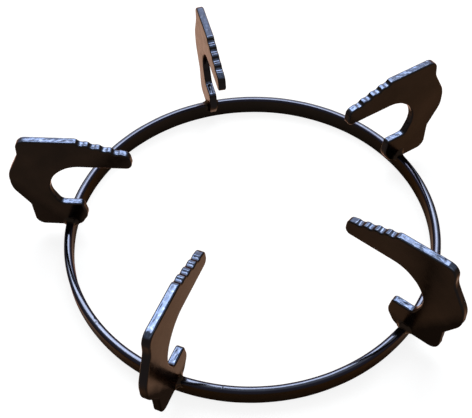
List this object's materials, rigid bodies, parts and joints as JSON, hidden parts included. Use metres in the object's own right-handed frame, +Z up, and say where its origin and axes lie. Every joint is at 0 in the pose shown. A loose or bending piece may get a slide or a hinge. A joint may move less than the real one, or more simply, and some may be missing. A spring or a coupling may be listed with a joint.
{
  "type": "wok ring",
  "caption": "Ring of flat bar on edge with upright plate arms welded over it, each with a notched sloping top, an open C-shaped throat and a short inner nub, to hold a round-bottomed wok.",
  "frame": {"origin": "on the ring's axis, on the plane of the ring's lower edge, which stands on the hob", "axes": "+Z up along the ring's axis, and the first arm points along +Y"},
  "size_m": [0.223, 0.2122, 0.0661],
  "materials": {
    "ring_enamel": "glossy dark brown vitreous enamel on steel bar",
    "arm_enamel": "glossy dark brown vitreous enamel on steel plate, wrinkled along the cut edges"
  },
  "bodies": {
    "root": {"ring": "ring_enamel", "arm_1": "arm_enamel", "arm_2": "arm_enamel", "arm_3": "arm_enamel", "arm_4": "arm_enamel", "arm_5": "arm_enamel"}
  },
  "joints": []
}
